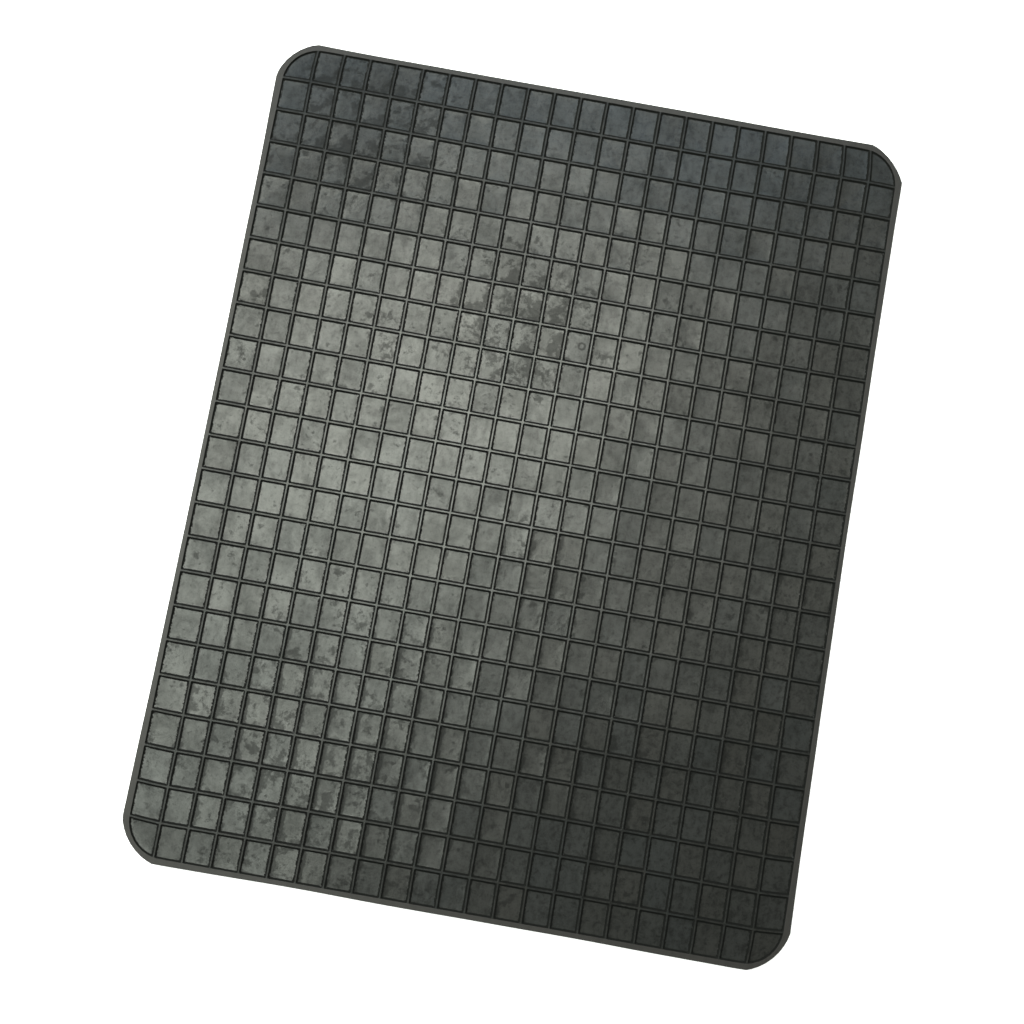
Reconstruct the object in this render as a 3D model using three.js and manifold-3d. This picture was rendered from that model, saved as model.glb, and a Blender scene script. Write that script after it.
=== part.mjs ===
// Self healing mat: a flat bench mat for leather work, moulded in black rubber.
// Millimetres, +Z up, +Y along the mat's length, origin at the middle of the underside.
//
// Three plies are bonded into one sheet, and each is its own mesh:
//   base_sheet   the soft smooth backing that grips the bench
//   core_sheet   the firm sheet that stops the blade
//   ribbed_face  the soft face, moulded in one with its rim and its grid of ribs
import * as THREE from 'three';
import { mergeVertices, mergeGeometries } from 'three/addons/utils/BufferGeometryUtils.js';
import Module from 'manifold-3d';

const wasm = await Module();
wasm.setup();

// Driving dimensions: a 14 x 18 inch mat.
const MAT_WIDTH = 355.6;
const MAT_LENGTH = 457.2;
const CORNER_RADIUS = 23;
const CORNER_STEPS = 12;

// Ply thicknesses, from the bench up. The ribs and the rim stand on the face ply's floor.
const BASE_THICKNESS = 1.2;
const CORE_THICKNESS = 1.5;
const FLOOR_THICKNESS = 1.5;
const RIB_HEIGHT = 0.8;

// The flat border and the grid inside it. A rib is drafted so that it leaves the mould.
const RIM_WIDTH = 3;
const RIB_TOP_WIDTH = 1;
const RIB_DRAFT = 0.5;
const LONG_RIBS = 22;
const CROSS_RIBS = 23;
const LONG_RIB_PITCH = 15.07;
const CROSS_RIB_PITCH = 18.77;

// Heights of the faces between the plies, and of the pocket floors and the rib tops.
const CORE_BOTTOM = BASE_THICKNESS;
const FACE_BOTTOM = CORE_BOTTOM + CORE_THICKNESS;
const POCKET_FLOOR = FACE_BOTTOM + FLOOR_THICKNESS;
const RIB_TOP = POCKET_FLOOR + RIB_HEIGHT;

// The cutting shapes for the pockets stand this much above the rib tops, and stay apart there.
const CUT_CLEARANCE = 0.5;

// A rectangle with round corners, centred on the origin.
function roundedOutline(width, length, radius) {
  const x = width / 2 - radius;
  const y = length / 2 - radius;
  const quarter = Math.PI / 2;
  const outline = new THREE.Shape();
  outline.absarc(x, y, radius, 0, quarter);
  outline.absarc(-x, y, radius, quarter, 2 * quarter);
  outline.absarc(-x, -y, radius, 2 * quarter, 3 * quarter);
  outline.absarc(x, -y, radius, 3 * quarter, 4 * quarter);
  outline.closePath();
  return outline;
}

// A slab of the given outline between two heights.
function slab(outline, bottom, top) {
  const geometry = new THREE.ExtrudeGeometry(outline, {
    depth: top - bottom,
    bevelEnabled: false,
    curveSegments: CORNER_STEPS,
  });
  return geometry.translate(0, 0, bottom);
}

// Widens a centred geometry evenly from its bottom face, which keeps its size, to its top face.
function drafted(geometry, draftAtTop) {
  geometry.computeBoundingBox();
  const { min, max } = geometry.boundingBox;
  const position = geometry.getAttribute('position');
  for (let i = 0; i < position.count; i += 1) {
    const rise = (position.getZ(i) - min.z) / (max.z - min.z);
    const growX = 1 + (rise * draftAtTop) / max.x;
    const growY = 1 + (rise * draftAtTop) / max.y;
    position.setXY(i, position.getX(i) * growX, position.getY(i) * growY);
  }
  return geometry;
}

// Centres of a row of evenly spaced ribs.
function ribCentres(count, pitch) {
  return Array.from({ length: count }, (_, i) => (i - (count - 1) / 2) * pitch);
}

// The spans between neighbouring ribs. The first and the last run out past the rim.
function pocketSpans(centres, outerEdge) {
  const edges = [-outerEdge, ...centres, outerEdge];
  return edges.slice(1).map((end, i) => ({ start: edges[i], end }));
}

// Everything that the mould takes out of the face between the ribs, as one geometry of
// separate blocks. Each block is narrowest at the pocket floor.
function ribGridCutter(draftAtTop, cutTop) {
  const ribHalfFoot = RIB_TOP_WIDTH / 2 + RIB_DRAFT;
  const columns = pocketSpans(ribCentres(LONG_RIBS, LONG_RIB_PITCH), MAT_WIDTH / 2);
  const rows = pocketSpans(ribCentres(CROSS_RIBS, CROSS_RIB_PITCH), MAT_LENGTH / 2);
  const blocks = [];
  for (const column of columns) {
    for (const row of rows) {
      const width = column.end - column.start - 2 * ribHalfFoot;
      const length = row.end - row.start - 2 * ribHalfFoot;
      const block = new THREE.BoxGeometry(width, length, cutTop - POCKET_FLOOR);
      drafted(block, draftAtTop);
      block.translate(
        (column.start + column.end) / 2,
        (row.start + row.end) / 2,
        (cutTop + POCKET_FLOOR) / 2,
      );
      blocks.push(block);
    }
  }
  return mergeGeometries(blocks);
}

// The recess inside the rim, which the outer pockets end at.
function rimCutter(draftAtTop, cutTop) {
  const inset = 2 * (RIM_WIDTH + RIB_DRAFT);
  const radius = CORNER_RADIUS - RIM_WIDTH - RIB_DRAFT;
  const outline = roundedOutline(MAT_WIDTH - inset, MAT_LENGTH - inset, radius);
  return drafted(slab(outline, POCKET_FLOOR, cutTop), draftAtTop);
}

// A closed three.js geometry as a manifold solid.
function toSolid(geometry) {
  const bare = geometry.clone();
  bare.deleteAttribute('normal');
  bare.deleteAttribute('uv');
  const merged = mergeVertices(bare);
  return new wasm.Manifold(new wasm.Mesh({
    numProp: 3,
    vertProperties: Float32Array.from(merged.getAttribute('position').array),
    triVerts: Uint32Array.from(merged.index.array),
  }));
}

// A manifold solid as a three.js geometry.
function toGeometry(solid) {
  const { vertProperties, triVerts } = solid.getMesh();
  const geometry = new THREE.BufferGeometry();
  geometry.setAttribute('position', new THREE.BufferAttribute(vertProperties, 3));
  geometry.setIndex(new THREE.BufferAttribute(triVerts, 1));
  geometry.computeVertexNormals();
  return geometry;
}

// The face ply: a slab with a pocket sunk between every pair of ribs.
function ribbedFaceGeometry(outline) {
  const cutTop = RIB_TOP + CUT_CLEARANCE;
  const draftAtTop = (RIB_DRAFT * (cutTop - POCKET_FLOOR)) / RIB_HEIGHT;
  const pockets = toSolid(ribGridCutter(draftAtTop, cutTop))
    .intersect(toSolid(rimCutter(draftAtTop, cutTop)));
  return toGeometry(toSolid(slab(outline, FACE_BOTTOM, RIB_TOP)).subtract(pockets));
}

function ply(name, geometry, color, roughness) {
  const material = new THREE.MeshStandardMaterial({ color, roughness, metalness: 0 });
  const mesh = new THREE.Mesh(geometry, material);
  mesh.name = name;
  return mesh;
}

const matOutline = roundedOutline(MAT_WIDTH, MAT_LENGTH, CORNER_RADIUS);

const mat = new THREE.Group();
mat.add(ply('ribbed_face', ribbedFaceGeometry(matOutline), 0x3c3e3d, 0.55));
mat.add(ply('core_sheet', slab(matOutline, CORE_BOTTOM, FACE_BOTTOM), 0x2b2c2c, 0.7));
mat.add(ply('base_sheet', slab(matOutline, 0, CORE_BOTTOM), 0x303231, 0.75));

export default mat;
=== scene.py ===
"""The looks of a self healing mat: a black rubber bench mat with a rim and a grid of moulded ribs.

Metres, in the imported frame: +Z up, +Y along the mat, origin at the middle of the underside.
Each of the three plies gets a detailed mesh in place of its plain CAD solid.
"""
import math
import random

import bpy
from mathutils import Matrix, Vector, noise


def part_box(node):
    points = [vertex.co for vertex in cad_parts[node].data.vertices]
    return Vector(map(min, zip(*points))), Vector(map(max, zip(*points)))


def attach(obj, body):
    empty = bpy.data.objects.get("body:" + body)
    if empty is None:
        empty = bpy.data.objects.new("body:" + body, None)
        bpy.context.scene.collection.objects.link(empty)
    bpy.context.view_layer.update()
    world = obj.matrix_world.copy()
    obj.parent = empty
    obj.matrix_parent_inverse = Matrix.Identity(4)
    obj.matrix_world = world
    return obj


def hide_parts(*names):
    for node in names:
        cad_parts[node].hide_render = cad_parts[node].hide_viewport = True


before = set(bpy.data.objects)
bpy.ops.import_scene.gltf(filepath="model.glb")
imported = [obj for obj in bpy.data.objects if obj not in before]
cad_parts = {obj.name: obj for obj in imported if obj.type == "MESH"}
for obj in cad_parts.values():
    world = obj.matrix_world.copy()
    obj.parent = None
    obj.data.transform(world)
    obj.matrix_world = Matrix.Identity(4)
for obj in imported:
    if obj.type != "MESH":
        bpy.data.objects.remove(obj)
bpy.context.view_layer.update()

MM = 0.001
SEED = 7

# ---------------------------------------------------------------- sizes, from the frame
(_, _, FACE_BOTTOM), (HALF_WIDTH, HALF_LENGTH, RIB_TOP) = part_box("ribbed_face")
CORE_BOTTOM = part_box("core_sheet")[0][2]
BASE_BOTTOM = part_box("base_sheet")[0][2]

# The rib grid and the rim, as in the CAD model.
CORNER_RADIUS = 23 * MM
RIM_WIDTH = 3 * MM
RIB_TOP_WIDTH = 1 * MM
RIB_HEIGHT = 0.8 * MM
RIB_DRAFT = 0.5 * MM
LONG_RIBS = 22
CROSS_RIBS = 23
LONG_RIB_PITCH = 15.07 * MM
CROSS_RIB_PITCH = 18.77 * MM
POCKET_FLOOR = RIB_TOP - RIB_HEIGHT
MIDDLE_INSET = (LONG_RIB_PITCH - RIB_TOP_WIDTH) / 2

# Small radii that the CAD model leaves out. The pockets' corners get tighter towards the floor.
TOP_ROUNDING = 0.14 * MM
FOOT_FILLET = 0.2 * MM
RIM_ROUNDING = 0.3 * MM
POCKET_CORNER = 0.6 * MM
CORNER_TIGHTENING = 0.35
PLY_ROUNDING = 0.06 * MM
BASE_ROUNDING = 0.25 * MM
# How far the lower plies' cut edges lie inside the face's.
CORE_EDGE_INSET = 0.12 * MM
BASE_EDGE_INSET = 0.02 * MM
# A ring of points this far beside each rounding keeps the flats next to it flat in the shading.
FLAT_MARGIN = 0.06 * MM
# Each pocket floor curls up a little over this width beside its walls.
CURL_WIDTH = 2.0 * MM
# A floor's unevenness starts at this share of the drop from the rib top, and is full at the floor.
UNEVEN_FROM = 0.9

# How finely things are divided.
RIB_SIDE_STEPS = 2
CORNER_POCKET_STEPS = 8
OUTLINE_ARC_STEPS = 24
OUTLINE_SPACING = 8 * MM
# Points that agree to half a micrometre are one vertex.
STEPS_PER_METRE = 2e6


# ---------------------------------------------------------------- the outline and its flaws
NOISE_GAIN = 1.6


def smooth_noise(x, y, wavelength, salt):
    """Smooth noise between about -1 and 1 over the mat; each salt gives another pattern."""
    offset = Vector((31.7 * salt + SEED, 17.3 * salt, 5.9 * salt))
    return noise.noise(Vector((x, y, 0)) / wavelength + offset) * NOISE_GAIN


def outline_frame(x, y):
    """The nearest point of the outline's inner box, and the outward direction from it."""
    inner_x = HALF_WIDTH - CORNER_RADIUS
    inner_y = HALF_LENGTH - CORNER_RADIUS
    centre = Vector((max(-inner_x, min(inner_x, x)), max(-inner_y, min(inner_y, y))))
    outward = Vector((x, y)) - centre
    return centre, outward.normalized()


def on_outline(x, y, inset):
    """The point of the outline, moved in by inset, that lies straight outward of (x, y)."""
    centre, outward = outline_frame(x, y)
    return centre + outward * (CORNER_RADIUS - inset)


def edge_distance(x, y):
    """How far in from the outline a place is, up to the corner radius."""
    centre, _ = outline_frame(x, y)
    return CORNER_RADIUS - (Vector((x, y)) - centre).length


def reach(along, half_along, half_across, inset):
    """How far the outline, moved in by inset, reaches across at a place along it."""
    beyond = max(0.0, abs(along) - (half_along - CORNER_RADIUS))
    radius = CORNER_RADIUS - inset
    return half_across - CORNER_RADIUS + math.sqrt(radius * radius - beyond * beyond)


# Each corner was cut by hand to a flatter curve than the sides would lead into:
# (radius of the cut, depth of the cut along the diagonal) for (x sign, y sign).
CORNER_CUTS = {
    (-1, 1): (29 * MM, 9.7 * MM),
    (1, 1): (36 * MM, 10.1 * MM),
    (1, -1): (30 * MM, 10.2 * MM),
    (-1, -1): (30 * MM, 10.0 * MM),
}


def side_bow(x, y, outward):
    """How far the trimmed edge bows outside the straight side: out at the ends, in at the waist."""
    on_long_side = abs(outward.x) > abs(outward.y)
    along = y / HALF_LENGTH if on_long_side else x / HALF_WIDTH
    bow_mm = (-0.45 + 1.5 * along * along) if on_long_side else (-0.1 + 0.6 * along ** 4)
    return (bow_mm + 0.3 * smooth_noise(x, y, 70 * MM, 1)) * MM


def trim(x, y):
    """Outward shift of the mat's cut edge from the true outline, at an outline point."""
    centre, outward = outline_frame(x, y)
    bow = side_bow(x, y, outward)
    corner = Vector((math.copysign(HALF_WIDTH, x), math.copysign(HALF_LENGTH, y)))
    from_corner = Vector((abs(corner.x - x), abs(corner.y - y)))
    if max(from_corner) > CORNER_RADIUS:
        return bow
    steep = max(abs(outward.x), abs(outward.y))
    flat = (CORNER_RADIUS + bow) / steep - CORNER_RADIUS
    sign = (int(math.copysign(1, x)), int(math.copysign(1, y)))
    radius, depth = CORNER_CUTS[sign]
    cut_centre = corner - Vector(sign).normalized() * (depth + radius)
    from_cut = centre - cut_centre
    lean = from_cut.dot(outward)
    cut = -lean + math.sqrt(lean * lean + radius * radius - from_cut.length_squared)
    # The edge is whichever lies further in: the side carried on straight, or the corner's cut.
    return min(flat, cut - CORNER_RADIUS)


# The rim keeps the grid from creeping; the creep grows to its full size over this width.
CREEP_WIDTH = 14 * MM


def creep(x, y):
    """How far the rib grid has crept in the mould: in along the sides, out at the corners."""
    share = max(0.0, min(1.0, (edge_distance(x, y) - RIM_WIDTH) / CREEP_WIDTH))
    u = x / HALF_WIDTH
    v = y / HALF_LENGTH
    # In millimetres, from how far out a place is across and along the mat.
    sideways = -0.5 + 0.8 * u * u + 0.25 * v * v + u * (1.3 * u * u + 1.5 * v * v + 0.4 * v - 1.5)
    lengthways = -0.26 + 0.25 * u * u - 0.4 * v * v + v * (u * u + 1.35 * v * v - 1.15)
    return Vector((sideways, lengthways)) * share * MM


def settle(x, y):
    """The slow wander of the whole moulding in plan, as rubber never lies dead straight."""
    return creep(x, y) + Vector((
        smooth_noise(x, y, 90 * MM, 2) * 0.12 * MM,
        smooth_noise(x, y, 90 * MM, 3) * 0.12 * MM,
    ))


def swell(x, y):
    """How much thicker than planned the moulded face is."""
    broad = smooth_noise(x, y, 120 * MM, 4) * 0.10
    local = smooth_noise(x, y, 45 * MM, 5) * 0.03
    return (broad + local) * MM


# ---------------------------------------------------------------- the ribbed face
def wall_profile():
    """(inset from the rib's top edge, drop below the rib top) down to the pocket floor."""
    slope = RIB_DRAFT / RIB_HEIGHT
    # Each rounding has one point on its curve between its ends.
    top = [
        (-TOP_ROUNDING - FLAT_MARGIN, 0.0),
        (-TOP_ROUNDING, 0.0),
        (-0.03 * MM, 0.045 * MM),
        (TOP_ROUNDING * slope, TOP_ROUNDING),
    ]
    foot = [
        (RIB_DRAFT - FOOT_FILLET * slope, RIB_HEIGHT - FOOT_FILLET),
        (RIB_DRAFT + 0.06 * MM, RIB_HEIGHT - 0.06 * MM),
        (RIB_DRAFT + FOOT_FILLET, RIB_HEIGHT),
    ]
    floor = [
        (RIB_DRAFT + FOOT_FILLET + 2 * FLAT_MARGIN, RIB_HEIGHT),
        (RIB_DRAFT + FOOT_FILLET + CURL_WIDTH, RIB_HEIGHT),
    ]
    return top + foot + floor


def rib_lines(count, pitch, half_size):
    """Rib centre lines, with the middle line of the rim as the first and the last."""
    lines = [(i - (count - 1) / 2) * pitch for i in range(count)]
    rim_line = half_size - RIM_WIDTH / 2
    return [-rim_line, *lines, rim_line]


class Cell:
    """One pocket between four lines, each of which is a rib's middle or the rim's."""

    def __init__(self, column, row, x_lines, y_lines):
        self.x = (x_lines[column], x_lines[column + 1])
        self.y = (y_lines[row], y_lines[row + 1])
        # Whether the first and the last side is the rim's.
        self.x_rim = (column == 0, column == len(x_lines) - 2)
        self.y_rim = (row == 0, row == len(y_lines) - 2)
        # Every pocket has a seed of its own.
        draw = random.Random(SEED * 100003 + column * 211 + row)
        self.tilt = (draw.gauss(0, 0.0055), draw.gauss(0, 0.0045))
        self.dome = draw.gauss(0.02, 0.03) * MM
        self.curl = draw.uniform(0.02, 0.09) * MM

    def edges(self, lines, inset):
        """Where a pair of ribs' sides lie. For the rim only the sign counts, as it is curved."""
        if inset is None:
            return lines
        shift = RIB_TOP_WIDTH / 2 + inset
        return lines[0] + shift, lines[1] - shift

    def corners(self, inset):
        """The cell's corners, anticlockwise, each with whether the side after it is the rim.

        An inset of None stands for the middle lines of the ribs and the rim. The second value
        is how far the rim's side lies inside the outline.
        """
        x = self.edges(self.x, inset)
        y = self.edges(self.y, inset)
        rim_inset = RIM_WIDTH / 2 if inset is None else RIM_WIDTH + inset

        def corner(end_x, end_y):
            x_is_rim, y_is_rim = self.x_rim[end_x], self.y_rim[end_y]
            if y_is_rim and not x_is_rim:
                across = reach(x[end_x], HALF_WIDTH, HALF_LENGTH, rim_inset)
                return Vector((x[end_x], math.copysign(across, y[end_y])))
            if x_is_rim and not y_is_rim:
                across = reach(y[end_y], HALF_LENGTH, HALF_WIDTH, rim_inset)
                return Vector((math.copysign(across, x[end_x]), y[end_y]))
            return Vector((x[end_x], y[end_y]))

        ring = []
        for end_x, end_y, side_is_rim in (
            (0, 0, self.y_rim[0]),
            (1, 0, self.x_rim[1]),
            (1, 1, self.y_rim[1]),
            (0, 1, self.x_rim[0]),
        ):
            if self.x_rim[end_x] and self.y_rim[end_y]:
                continue
            ring.append((corner(end_x, end_y), side_is_rim))
        return ring, rim_inset

    def ring(self, inset, rounding):
        """Points round the cell at an inset from the ribs' top edges, with rounded corners."""
        corners, rim_inset = self.corners(inset)
        count = len(corners)
        sides = []
        for i, (start, is_rim) in enumerate(corners):
            end = corners[(i + 1) % count][0]
            is_corner_arc = is_rim and count == 3
            steps = CORNER_POCKET_STEPS if is_corner_arc else RIB_SIDE_STEPS
            # The roundings at a side's two ends never meet.
            cut = min(rounding / (end - start).length, 0.45)
            shares = [cut + (1 - 2 * cut) * k / steps for k in range(steps + 1)]
            points = [start.lerp(end, share) for share in shares]
            if is_rim:
                points = [on_outline(p.x, p.y, rim_inset) for p in points]
            sides.append(points)
        points = []
        for i, side in enumerate(sides):
            chord_middle = (sides[i - 1][-1] + side[0]) / 2
            points.append((corners[i][0] + chord_middle) / 2)
            points.extend(side)
        return points

    def floor_height(self, point, middle):
        """How far the pocket's floor, a little tilted and domed, is above its planned height."""
        offset = point - middle
        across = 2 * offset.x / LONG_RIB_PITCH
        along = 2 * offset.y / CROSS_RIB_PITCH
        dome = self.dome * max(0.0, 1 - across * across) * max(0.0, 1 - along * along)
        return self.tilt[0] * offset.x + self.tilt[1] * offset.y + dome


class Mesh:
    """Collects vertices and faces. Points at the same place become one vertex."""

    def __init__(self):
        self.points = []
        self.insets = []
        self.faces = []
        self.index = {}

    def vertex(self, x, y, z, inset=0.0):
        """A vertex, with its distance into a pocket from the top edge of the rib beside it."""
        key = tuple(round(value * STEPS_PER_METRE) for value in (x, y, z))
        if key not in self.index:
            self.index[key] = len(self.points)
            self.points.append((x, y, z))
            self.insets.append(inset)
        return self.index[key]

    def face(self, corners):
        """Adds a face, leaving out corners that fall together."""
        kept = [c for i, c in enumerate(corners) if c != corners[i - 1]]
        if len(set(kept)) >= 3:
            self.faces.append(kept)

    def band(self, outer, inner):
        """Faces between two closed rings with equally many vertices."""
        for i in range(len(outer)):
            self.face((outer[i - 1], outer[i], inner[i], inner[i - 1]))


def add_pocket(mesh, cell):
    """One pocket, from the middle lines of the ribs round it to the middle of its floor."""
    rings = [(cell.ring(None, 0.0), 0.0, -RIB_TOP_WIDTH / 2)]
    for inset, drop in wall_profile():
        rounding = POCKET_CORNER * (1 - CORNER_TIGHTENING * drop / RIB_HEIGHT)
        rings.append((cell.ring(inset, rounding), drop, inset))
    outer = rings[-1][0]
    middle = sum(outer, Vector((0, 0))) / len(outer)
    previous = None
    for points, drop, inset in rings:
        floor_share = max(0.0, drop / RIB_HEIGHT - UNEVEN_FROM) / (1 - UNEVEN_FROM)
        inner_share = max(0.0, inset - RIB_DRAFT - FOOT_FILLET) / CURL_WIDTH
        level = RIB_TOP - drop
        ring = []
        for p in points:
            uneven = cell.floor_height(p, middle) + cell.curl * (1 - inner_share)
            ring.append(mesh.vertex(p.x, p.y, level + floor_share * uneven, inset))
        if previous is not None:
            mesh.band(previous, ring)
        previous = ring
    floor = POCKET_FLOOR + cell.floor_height(middle, middle)
    centre = mesh.vertex(middle.x, middle.y, floor, MIDDLE_INSET)
    for i in range(len(previous)):
        mesh.face((previous[i - 1], previous[i], centre))


def open_loop(mesh):
    """The vertices round the one open edge of a mesh, in order."""
    edges = [(face[i - 1], corner) for face in mesh.faces for i, corner in enumerate(face)]
    used = set(edges)
    after = {a: b for a, b in edges if (b, a) not in used}
    start = next(iter(after))
    loop = [start]
    while after[loop[-1]] != start:
        loop.append(after[loop[-1]])
    return loop


def cut_edge_rings(top, bottom, top_rounding, bottom_rounding):
    """(inset from the cut edge, height) from a ply's top face down to its underside."""
    return [
        (top_rounding + FLAT_MARGIN, top),
        (top_rounding, top),
        (top_rounding * 0.3, top - top_rounding * 0.3),
        (0.0, top - top_rounding),
        (0.0, bottom + bottom_rounding),
        (bottom_rounding * 0.3, bottom + bottom_rounding * 0.3),
        (bottom_rounding, bottom),
    ]


def add_cut_edge(mesh, loop, rings, extra_inset=0.0):
    """Carries an open loop out to the trimmed edge and down it; returns the last ring."""
    start = [mesh.points[i] for i in loop]
    previous = loop
    for inset, height in rings:
        ring = []
        for x, y, _ in start:
            edge = on_outline(x, y, 0.0)
            _, outward = outline_frame(x, y)
            place = edge + outward * (trim(edge.x, edge.y) - inset - extra_inset)
            ring.append(mesh.vertex(place.x, place.y, height, -RIB_TOP_WIDTH / 2))
        mesh.band(ring, previous)
        previous = ring
    return previous


def ribbed_face_mesh():
    """The face ply: all its pockets, the rim round them, the cut edge and the underside."""
    mesh = Mesh()
    x_lines = rib_lines(LONG_RIBS, LONG_RIB_PITCH, HALF_WIDTH)
    y_lines = rib_lines(CROSS_RIBS, CROSS_RIB_PITCH, HALF_LENGTH)
    for column in range(len(x_lines) - 1):
        for row in range(len(y_lines) - 1):
            add_pocket(mesh, Cell(column, row, x_lines, y_lines))
    rings = cut_edge_rings(RIB_TOP, FACE_BOTTOM, RIM_ROUNDING, PLY_ROUNDING)
    last = add_cut_edge(mesh, open_loop(mesh), rings)
    mesh.faces.append(list(reversed(last)))
    return mesh


# ---------------------------------------------------------------- the plies under it
def arc_point(corner, quarter_turns):
    """A point on the round corner with this number, counted anticlockwise from +X, +Y."""
    x_sign, y_sign = ((1, 1), (-1, 1), (-1, -1), (1, -1))[corner % 4]
    angle = quarter_turns * math.pi / 2
    return Vector((
        x_sign * (HALF_WIDTH - CORNER_RADIUS) + CORNER_RADIUS * math.cos(angle),
        y_sign * (HALF_LENGTH - CORNER_RADIUS) + CORNER_RADIUS * math.sin(angle),
    ))


def outline_points():
    """Evenly spaced points round the true outline, anticlockwise, with its arcs finer."""
    points = []
    for corner in range(4):
        for k in range(OUTLINE_ARC_STEPS + 1):
            points.append(arc_point(corner, corner + k / OUTLINE_ARC_STEPS))
        start = points[-1]
        end = arc_point(corner + 1, corner + 1)
        steps = int((end - start).length / OUTLINE_SPACING)
        points.extend(start.lerp(end, k / steps) for k in range(1, steps))
    return points


def ply_mesh(top, bottom, top_rounding, bottom_rounding, edge_inset):
    """A flat ply: two faces and a cut edge that follows the trimmed outline."""
    mesh = Mesh()
    loop = []
    for p in outline_points():
        inner = on_outline(p.x, p.y, RIM_WIDTH)
        loop.append(mesh.vertex(inner.x, inner.y, top))
    mesh.faces.append(list(loop))
    rings = cut_edge_rings(top, bottom, top_rounding, bottom_rounding)
    last = add_cut_edge(mesh, loop, rings, edge_inset)
    mesh.faces.append(list(reversed(last)))
    return mesh


def make_piece(name, mesh, node, material):
    """Turns a collected mesh into the visual piece that stands for a CAD node."""
    data = bpy.data.meshes.new(name)
    placed = []
    for x, y, z in mesh.points:
        moved = settle(x, y)
        # Only the face ply swells, and most at its top.
        rise = (z - FACE_BOTTOM) / (RIB_TOP - FACE_BOTTOM)
        lift = swell(x, y) * max(0.0, rise)
        placed.append((x + moved.x, y + moved.y, z + lift))
    data.from_pydata(placed, [], mesh.faces)
    inset = data.attributes.new("inset", "FLOAT", "POINT")
    inset.data.foreach_set("value", mesh.insets)
    from_edge = data.attributes.new("from_edge", "FLOAT", "POINT")
    from_edge.data.foreach_set("value", [edge_distance(x, y) for x, y, _ in mesh.points])
    data.validate()
    data.materials.append(material)
    data.polygons.foreach_set("use_smooth", [True] * len(data.polygons))
    piece = bpy.data.objects.new(name, data)
    bpy.context.scene.collection.objects.link(piece)
    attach(piece, "root")
    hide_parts(node)


# ---------------------------------------------------------------- materials
class Nodes:
    """A short way to write a material's node tree."""

    def __init__(self, name):
        self.material = bpy.data.materials.new(name)
        self.material.use_nodes = True
        self.tree = self.material.node_tree
        self.tree.nodes.clear()

    def add(self, kind, inputs=None, **settings):
        node = self.tree.nodes.new(kind)
        for key, value in settings.items():
            setattr(node, key, value)
        for key, value in (inputs or {}).items():
            self.put(node.inputs[key], value)
        return node

    def put(self, socket, value):
        """Links another node's output to the socket, or sets a plain value on it."""
        if isinstance(value, bpy.types.NodeSocket):
            self.tree.links.new(value, socket)
        else:
            socket.default_value = value

    def position(self):
        return self.add("ShaderNodeTexCoord").outputs["Object"]

    def attribute(self, name):
        return self.add("ShaderNodeAttribute", attribute_name=name).outputs["Fac"]

    def math(self, operation, a, b=0.0, c=0.0, clamp=False):
        node = self.add("ShaderNodeMath", {0: a, 1: b, 2: c}, operation=operation, use_clamp=clamp)
        return node.outputs[0]

    def product(self, result, *factors):
        """The first value times all the others."""
        for factor in factors:
            result = self.math("MULTIPLY", result, factor)
        return result

    def sway(self, value, amount, base):
        """The base, plus an amount times how far a value is above one half."""
        above_half = self.math("SUBTRACT", value, 0.5)
        return self.math("MULTIPLY_ADD", above_half, amount, base)

    def scaled(self, vector, factors):
        node = self.add("ShaderNodeVectorMath", {0: vector, 1: factors}, operation="MULTIPLY")
        return node.outputs[0]

    def noise(self, vector, scale, detail=3.0, roughness=0.5, distortion=0.0):
        """Noise from 0 to 1, with about this many waves to a metre."""
        node = self.add("ShaderNodeTexNoise", {
            "Vector": vector, "Scale": scale, "Detail": detail,
            "Roughness": roughness, "Distortion": distortion,
        })
        return node.outputs["Fac"]

    def remap(self, value, low, high, to_low=0.0, to_high=1.0, kind="SMOOTHSTEP"):
        node = self.add("ShaderNodeMapRange", {
            "Value": value, "From Min": low, "From Max": high,
            "To Min": to_low, "To Max": to_high,
        }, interpolation_type=kind)
        return node.outputs["Result"]

    def mix(self, share, a, b):
        """Blends two numbers."""
        node = self.add("ShaderNodeMix", {"Factor": share, "A": a, "B": b}, data_type="FLOAT")
        return node.outputs["Result"]

    def mix_colour(self, share, a, b):
        node = self.add("ShaderNodeMix", data_type="RGBA")
        self.put(node.inputs[0], share)
        self.put(node.inputs[6], a)
        self.put(node.inputs[7], b)
        return node.outputs[2]

    def distance(self, vector, place):
        """How far away a place on the mat is, in plan."""
        centre = (place[0], place[1], 0.0)
        flat = self.scaled(vector, (1.0, 1.0, 0.0))
        node = self.add("ShaderNodeVectorMath", {0: flat, 1: centre}, operation="DISTANCE")
        return node.outputs["Value"]

    def spot(self, vector, place, size):
        """1 at a place on the mat, falling smoothly to 0 at a distance."""
        return self.remap(self.distance(vector, place), 0.25 * size, size, 1.0, 0.0)

    def ring(self, vector, place, radius, line, strength):
        """Full strength on a circle round a place, falling to 0 over the width of its line."""
        off_line = self.math("SUBTRACT", self.distance(vector, place), radius)
        return self.remap(self.math("ABSOLUTE", off_line), 0.3 * line, line, strength, 0.0)

    def bump(self, height):
        """The normal of a surface raised by a height in millimetres."""
        node = self.add("ShaderNodeBump", {"Height": height, "Strength": 1.0, "Distance": MM})
        return node.outputs[0]

    def finish(self, shader):
        output = self.add("ShaderNodeOutputMaterial")
        self.tree.links.new(shader.outputs[0], output.inputs["Surface"])
        return self.material


# Places where smudges gather: ((x, y), radius, strength).
SMUDGED_PLACES = (
    ((-18 * MM, 92 * MM), 66 * MM, 1.0),
    ((-80 * MM, -155 * MM), 125 * MM, 0.9),
    ((-125 * MM, 190 * MM), 75 * MM, 0.9),
    ((60 * MM, -150 * MM), 70 * MM, 0.5),
)
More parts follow.
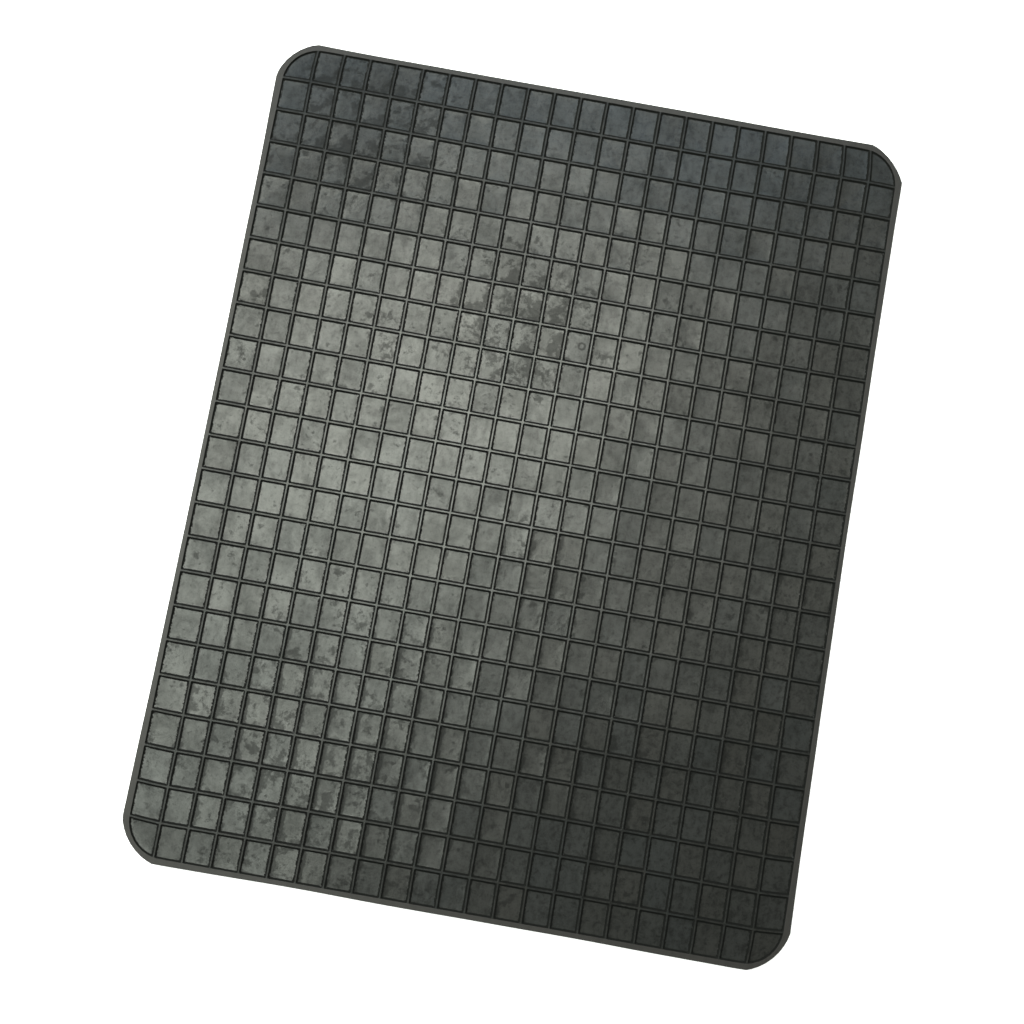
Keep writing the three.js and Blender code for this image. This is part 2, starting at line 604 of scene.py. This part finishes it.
# A round punch was once struck through the work here.
PUNCH_MARK = (16.8 * MM, 85 * MM)
PUNCH_RADIUS = 1.75 * MM
PUNCH_LINE = 0.95 * MM
PUNCH_STRENGTH = 0.85
# The rib tops are polished round this place, and duller towards the mat's edges.
POLISHED_PLACE = (30 * MM, 0 * MM)
POLISHED_REACH = 230 * MM

# Black is also the painted crease shade on the rib walls, their top edges and along their feet.
BLACK = (0.0028, 0.0033, 0.0026, 1.0)
SLATE_HAZE = (0.0152, 0.0172, 0.0164, 1.0)
OLIVE_HAZE = (0.0174, 0.0176, 0.0152, 1.0)
DULL_GREY = (0.036, 0.0345, 0.0325, 1.0)


class FaceRubber(Nodes):
    """Black rubber: hazy glossy floors, painted black crease shade by the ribs, polished rib tops,
    a dull rim.
    """

    def __init__(self):
        super().__init__("moulded_rubber")
        self.at = self.position()
        self.find_pocket()
        self.find_handled_places()
        self.find_zones()
        self.make_bloom()
        self.make_smudges()

    def find_pocket(self):
        """A random tone for each pocket, where a place lies in it, and on which half of the mat."""
        half_pitch = (LONG_RIB_PITCH / 2, 0.0, 0.0)
        shifted = self.add("ShaderNodeVectorMath", {0: self.at, 1: half_pitch}, operation="ADD")
        pockets_per_metre = (1 / LONG_RIB_PITCH, 1 / CROSS_RIB_PITCH, 0.0)
        in_grid = self.scaled(shifted.outputs[0], pockets_per_metre)
        pocket = self.add("ShaderNodeVectorMath", {0: in_grid}, operation="FLOOR").outputs[0]
        draw = self.add("ShaderNodeTexWhiteNoise", {"Vector": pocket}, noise_dimensions="3D")
        self.tone = draw.outputs["Value"]
        share = self.add("ShaderNodeVectorMath", {0: in_grid}, operation="FRACTION").outputs[0]
        shares = self.add("ShaderNodeSeparateXYZ", {0: share})
        self.share_x = shares.outputs["X"]
        self.share_y = shares.outputs["Y"]
        place_y = self.add("ShaderNodeSeparateXYZ", {0: self.at}).outputs["Y"]
        self.far_half = self.remap(place_y, -20 * MM, 20 * MM)

    def find_handled_places(self):
        """How much the mat was handled at a place."""
        worn = self.remap(self.noise(self.at, 9.0, 1.0), 0.45, 0.7)
        self.handled = self.math("MULTIPLY", worn, 0.4)
        for place, size, strength in SMUDGED_PLACES:
            spot = self.math("MULTIPLY", self.spot(self.at, place, size), strength)
            self.handled = self.math("MAXIMUM", self.handled, spot)

    def find_zones(self):
        """Shares of pocket floor, flat top and rim, from the distances kept in the mesh."""
        inset = self.attribute("inset")
        from_edge = self.attribute("from_edge")
        # Painted crease shade: the rib walls and the floor beside their feet are black and lose
        # their gloss, out to a ragged line on the floor, raggedest by the long ribs.
        from_middle = self.math("ABSOLUTE", self.math("SUBTRACT", self.share_x, 0.5))
        by_long_rib = self.remap(from_middle, 0.36, 0.44)
        wander = self.math("MULTIPLY_ADD", self.handled, 3.6 * MM, 1.4 * MM)
        raggedness = self.math("ADD", self.math("MULTIPLY", by_long_rib, wander), 0.5 * MM)
        ragged = self.noise(self.at, 850.0, 2.0, 0.7)
        foot = self.sway(ragged, raggedness, inset)
        past_painted_shade = self.remap(foot, RIB_DRAFT + 0.38 * MM, RIB_DRAFT + 0.58 * MM)
        past_wall = self.remap(inset, RIB_DRAFT, RIB_DRAFT + 0.1 * MM)
        self.floor_beyond_shade = self.math("MULTIPLY", past_painted_shade, past_wall)
        # Painted shade: the black also reaches onto the rounded edges of the rib tops, so the tops
        # read narrower.
        self.on_top = self.remap(inset, -0.16 * MM, -0.04 * MM, 1.0, 0.0)
        by_edge = self.remap(from_edge, RIM_WIDTH - 0.2 * MM, RIM_WIDTH, 1.0, 0.0)
        self.on_rim = self.math("MULTIPLY", self.on_top, by_edge)

    def make_bloom(self):
        """Patches over a few pockets, clouds inside a pocket, streaks along the mat, and grain."""
        self.patch = self.noise(self.at, 34.0, 3.0, 0.55)
        self.blotch = self.noise(self.at, 95.0, 3.0, 0.55, 0.4)
        self.cloud = self.noise(self.at, 240.0, 4.0, 0.66, 0.6)
        self.grain = self.noise(self.at, 1000.0, 3.0, 0.7)
        self.streak = self.noise(self.scaled(self.at, (420.0, 130.0, 1.0)), 1.0, 3.0, 0.5)
        bloom = self.math("MULTIPLY_ADD", self.cloud, 0.5, self.math("MULTIPLY", self.patch, 0.1))
        bloom = self.math("MULTIPLY_ADD", self.streak, 0.2, bloom)
        self.bloom = self.math("MULTIPLY_ADD", self.grain, 0.2, bloom)

    def make_smudges(self):
        """Dark smudges, thick where the mat was handled and sparse elsewhere, and fine marks.

        In the near half the smudges also paint shade on the left part of each pocket.
        """
        # Painted shade: in the near half, smudges gather on the left part of each pocket and darken
        # it as shade; beyond the middle, dirt lies low on the right of each pocket.
        left_side = self.remap(self.share_x, 0.08, 0.27, 1.0, 0.0)
        low_right = self.remap(self.math("SUBTRACT", self.share_x, self.share_y), -0.4, 0.5)
        near_painted_shade = self.math("MULTIPLY", left_side, 0.62)
        far_dirt = self.math("MULTIPLY", low_right, 0.20)
        dirt_and_shade_side = self.product(
            self.mix(self.far_half, near_painted_shade, far_dirt),
            self.remap(self.tone, 0.0, 1.0, 0.35, 1.2, "LINEAR"),
            self.handled,
        )
        threshold = self.remap(self.handled, 0.0, 1.0, 0.68, 0.49, "LINEAR")
        threshold = self.math("SUBTRACT", threshold, dirt_and_shade_side)
        mottle = self.noise(self.at, 190.0, 6.0, 0.68, 0.3)
        mottle = self.sway(self.cloud, 0.8, mottle)
        mottle = self.sway(self.noise(self.at, 560.0, 4.0, 0.75), 0.6, mottle)
        mottle = self.sway(self.blotch, 0.9, mottle)
        smudge = self.remap(self.math("SUBTRACT", mottle, threshold), -0.07, 0.22)
        specks = self.remap(self.noise(self.at, 420.0, 1.0, 0.3), 0.70, 0.76)
        smudge = self.math("MAXIMUM", smudge, self.math("MULTIPLY", specks, 0.6))
        punch = self.ring(self.at, PUNCH_MARK, PUNCH_RADIUS, PUNCH_LINE, PUNCH_STRENGTH)
        self.smudge = self.math("MAXIMUM", smudge, punch)

    def gloss(self):
        """The gloss of the skin on the pocket floors, and where work has polished the rib tops."""
        # In the near half, handled floors shine a little more towards their right side.
        near_half = self.math("SUBTRACT", 1.0, self.far_half)
        rightward = self.math("MULTIPLY", near_half, self.math("MULTIPLY", self.handled, 0.14))
        floor_gloss = self.remap(self.bloom, 0.40, 0.60, 0.66, 1.0, "LINEAR")
        floor_gloss = self.product(
            self.sway(self.tone, 0.10, floor_gloss),
            self.math("MULTIPLY_ADD", self.smudge, -0.66, 1.0),
            self.remap(self.patch, 0.36, 0.64, 0.80, 1.10, "LINEAR"),
            self.remap(self.blotch, 0.34, 0.66, 0.75, 1.24, "LINEAR"),
            self.sway(self.share_x, rightward, 1.0),
            self.floor_beyond_shade,
        )
        worked = self.spot(self.at, POLISHED_PLACE, POLISHED_REACH)
        rib_gloss = self.product(
            self.remap(worked, 0.0, 1.0, 0.36, 0.93, "LINEAR"),
            self.remap(self.streak, 0.35, 0.65, 0.75, 1.1, "LINEAR"),
            self.math("SUBTRACT", self.on_top, self.on_rim),
        )
        return self.math("ADD", floor_gloss, rib_gloss, clamp=True)

    def colour(self):
        """Black with a haze on the flats, blacker in the smudges, and grey on the rim.

        The rib walls and the floor by their feet stay black, as painted crease shade.
        """
        haze = self.mix_colour(self.tone, SLATE_HAZE, OLIVE_HAZE)
        on_flat = self.math("MAXIMUM", self.floor_beyond_shade, self.on_top)
        hazy = self.math("MULTIPLY", self.remap(self.bloom, 0.32, 0.58), on_flat)
        colour = self.mix_colour(hazy, BLACK, haze)
        colour = self.mix_colour(self.math("MULTIPLY", self.smudge, 0.7), colour, BLACK)
        dulled = self.math("MULTIPLY", self.on_rim, self.remap(self.streak, 0.25, 0.7, 0.8, 1.0))
        return self.mix_colour(dulled, colour, DULL_GREY)

    def relief(self):
        """Fine unevenness of the skin, in millimetres."""
        floor_clouds = self.math("MULTIPLY", self.cloud, 0.05)
        floor_relief = self.math("MULTIPLY_ADD", self.grain, 0.012, floor_clouds)
        top_streaks = self.math("MULTIPLY", self.streak, 0.04)
        top_relief = self.math("MULTIPLY_ADD", self.grain, 0.02, top_streaks)
        return self.mix(self.on_top, floor_relief, top_relief)


def face_material():
    """The rubber of the ribbed face: a dark body under a coat whose weight is the gloss."""
    n = FaceRubber()
    normal = n.bump(n.relief())
    shader = n.add("ShaderNodeBsdfPrincipled", {
        "Base Color": n.colour(),
        "Roughness": n.mix(n.on_rim, 0.92, 0.37),
        "Coat Weight": n.gloss(),
        "Coat Roughness": 0.24,
        "Coat IOR": 1.5,
        "IOR": 1.3,
        "Normal": normal,
        "Coat Normal": normal,
    })
    return n.finish(shader)


def plain_rubber(name, dark, light, rough):
    """Dull rubber with a fine calendered grain, for the plies whose faces aren't worked on."""
    n = Nodes(name)
    at = n.position()
    cloud = n.noise(at, 60.0, 4.0, 0.6)
    grain = n.noise(at, 1400.0, 2.0, 0.6)
    lines = n.noise(n.scaled(at, (900.0, 14.0, 900.0)), 1.0, 2.0)
    tone = n.math("MULTIPLY_ADD", lines, 0.35, n.math("MULTIPLY", cloud, 0.65))
    relief = n.math("MULTIPLY_ADD", grain, 0.03, n.math("MULTIPLY", lines, 0.02))
    shader = n.add("ShaderNodeBsdfPrincipled", {
        "Base Color": n.mix_colour(n.remap(tone, 0.35, 0.65), dark, light),
        "Roughness": n.remap(cloud, 0.3, 0.7, rough - 0.06, rough + 0.08, "LINEAR"),
        "Normal": n.bump(relief),
    })
    return n.finish(shader)


# ---------------------------------------------------------------- build the mat
make_piece("ribbed_face_skin", ribbed_face_mesh(), "ribbed_face", face_material())
make_piece(
    "core_ply",
    ply_mesh(FACE_BOTTOM, CORE_BOTTOM, PLY_ROUNDING, PLY_ROUNDING, CORE_EDGE_INSET),
    "core_sheet",
    plain_rubber("core_rubber", (0.016, 0.016, 0.016, 1), (0.03, 0.03, 0.03, 1), 0.75),
)
make_piece(
    "base_ply",
    ply_mesh(CORE_BOTTOM, BASE_BOTTOM, PLY_ROUNDING, BASE_ROUNDING, BASE_EDGE_INSET),
    "base_sheet",
    plain_rubber("base_rubber", (0.022, 0.023, 0.022, 1), (0.042, 0.043, 0.041, 1), 0.7),
)


# ---------------------------------------------------------------- stage, lights and camera
UP = (0, 0, 1)
ALONG_MAT = (0, 1, 0)
MAT_MIDDLE = (0, 0, 0)
WHITE = (1, 1, 1)
FLOOR_HALF_SIZE = 2.4
FLOOR_COLOUR = (0.86, 0.86, 0.855, 1)
# The floor and the backdrop glow only where the camera sees them, so both stay pale without
# lighting the mat; the room is dim.
GLOW_COLOUR = (0.97, 1.0, 0.98, 1)
FLOOR_GLOW = 0.7
BACKDROP_GLOW = 0.85
ROOM_GLOW = 0.07


def aim(obj, target, up):
    """Turns an object so that its -Z axis points at the target and its Y axis goes up."""
    back = (obj.location - Vector(target)).normalized()
    right = Vector(up).cross(back).normalized()
    turn = Matrix((right, back.cross(right), back)).transposed()
    obj.rotation_euler = turn.to_euler()


def add_light(name, place, target, size, watts, colour, up=UP):
    """A rectangle of light at a place, facing its target."""
    data = bpy.data.lights.new(name, "AREA")
    data.shape = "RECTANGLE"
    data.size, data.size_y = size
    data.energy = watts
    data.color = colour
    light = bpy.data.objects.new(name, data)
    light.location = place
    bpy.context.scene.collection.objects.link(light)
    aim(light, target, up)


def add_floor():
    """A plain pale floor that the mat lies on."""
    n = Nodes("pale_floor")
    seen = n.add("ShaderNodeLightPath").outputs["Is Camera Ray"]
    shader = n.add("ShaderNodeBsdfPrincipled", {
        "Base Color": FLOOR_COLOUR,
        "Roughness": 0.9,
        "Emission Color": GLOW_COLOUR,
        "Emission Strength": n.math("MULTIPLY", seen, FLOOR_GLOW),
    })
    mesh = bpy.data.meshes.new("floor")
    signs = ((-1, -1), (1, -1), (1, 1), (-1, 1))
    corners = [(FLOOR_HALF_SIZE * x, FLOOR_HALF_SIZE * y, 0) for x, y in signs]
    mesh.from_pydata(corners, [], [(0, 1, 2, 3)])
    mesh.materials.append(n.finish(shader))
    floor = bpy.data.objects.new("floor", mesh)
    bpy.context.scene.collection.objects.link(floor)


def add_studio():
    """A dim room for the light and the reflections, with a pale backdrop where it is seen."""
    world = bpy.data.worlds.new("studio")
    world.use_nodes = True
    tree = world.node_tree
    background = tree.nodes["Background"]
    background.inputs["Color"].default_value = GLOW_COLOUR
    seen = tree.nodes.new("ShaderNodeLightPath").outputs["Is Camera Ray"]
    brightness = tree.nodes.new("ShaderNodeMapRange")
    brightness.inputs["To Min"].default_value = ROOM_GLOW
    brightness.inputs["To Max"].default_value = BACKDROP_GLOW
    tree.links.new(seen, brightness.inputs["Value"])
    tree.links.new(brightness.outputs["Result"], background.inputs["Strength"])
    bpy.context.scene.world = world


add_floor()
add_studio()
bpy.context.scene.view_settings.view_transform = "Standard"

# The window, high up and to the left: its reflection is the broad sheen on the mat. It leans,
# so it is a row of panes from the nearest to the furthest: (left side, right side, watts per m2).
WINDOW_PANES = (
    (-0.54, -0.17, 17),
    (-0.78, -0.06, 22),
    (-0.72, 0.01, 21),
    (-0.68, 0.10, 29),
    (-0.60, 0.20, 31),
    (-0.36, 0.16, 15),
)
WINDOW_HEIGHT = 1.4
NEAREST_PANE_Y = -0.57
PANE_DEPTH = 0.22
NEAR_TINT = Vector((0.92, 1.0, 0.885))
FAR_TINT = Vector((0.98, 1.0, 0.885))
WALL_TINT = (0.98, 1.0, 0.88)
SKY_TINT = (0.42, 0.72, 1.0)


def add_ceiling_light(name, x_range, y_range, watts_per_area, colour):
    """A rectangle of light at the window's height that shines straight down."""
    middle = (sum(x_range) / 2, sum(y_range) / 2)
    size = (x_range[1] - x_range[0], y_range[1] - y_range[0])
    watts = watts_per_area * size[0] * size[1]
    add_light(name, (*middle, WINDOW_HEIGHT), (*middle, 0), size, watts, colour, up=ALONG_MAT)


for number, (left, right, strength) in enumerate(WINDOW_PANES):
    near = NEAREST_PANE_Y + number * PANE_DEPTH
    far = near + PANE_DEPTH
    tint = NEAR_TINT.lerp(FAR_TINT, number / (len(WINDOW_PANES) - 1))
    add_ceiling_light(f"pane_{number + 1}", (left, right), (near, far), strength, tint)
# The pale walls beside the window show faintly in the right half of the mat.
add_ceiling_light("wall_by_window", (0.12, 0.42), (-0.10, 0.72), 4.8, WALL_TINT)
add_ceiling_light("wall_far_side", (0.42, 0.68), (0.05, 0.72), 2.2, WALL_TINT)
# A cool light further back tints the far end of the mat.
add_ceiling_light("sky", (-0.66, 0.44), (0.68, 1.22), 4.0, SKY_TINT)
# Low side lights brighten the floor without showing in the mat.
add_light("side_left", (-1.6, 0.5, 1.1), MAT_MIDDLE, (1.0, 1.0), 34, WHITE)
add_light("side_back", (-0.2, 2.0, 1.2), MAT_MIDDLE, (1.2, 0.8), 30, WHITE)
# A faint low panel gives the mat a sheen when it is seen from behind.
add_light("low_front", (1.5, -1.5, 0.62), MAT_MIDDLE, (1.8, 0.6), 4, WHITE)

# The camera stands almost straight over the mat, turned a little, as the photo's does.
CAMERA_PLACE = (-7.2 * MM, -86.1 * MM, 683.4 * MM)
CAMERA_TARGET = (-5.0 * MM, -12.5 * MM, 5 * MM)
CAMERA_UP = (-0.17675, 0.97857, 0.1056)
SENSOR_WIDTH_MM = 36
FOCAL_LENGTH_MM = 44.17

camera_data = bpy.data.cameras.new("camera")
camera_data.sensor_width = SENSOR_WIDTH_MM
camera_data.lens = FOCAL_LENGTH_MM
camera_data.clip_start = 10 * MM
camera = bpy.data.objects.new("camera", camera_data)
camera.location = CAMERA_PLACE
bpy.context.scene.collection.objects.link(camera)
aim(camera, CAMERA_TARGET, CAMERA_UP)
bpy.context.scene.camera = camera
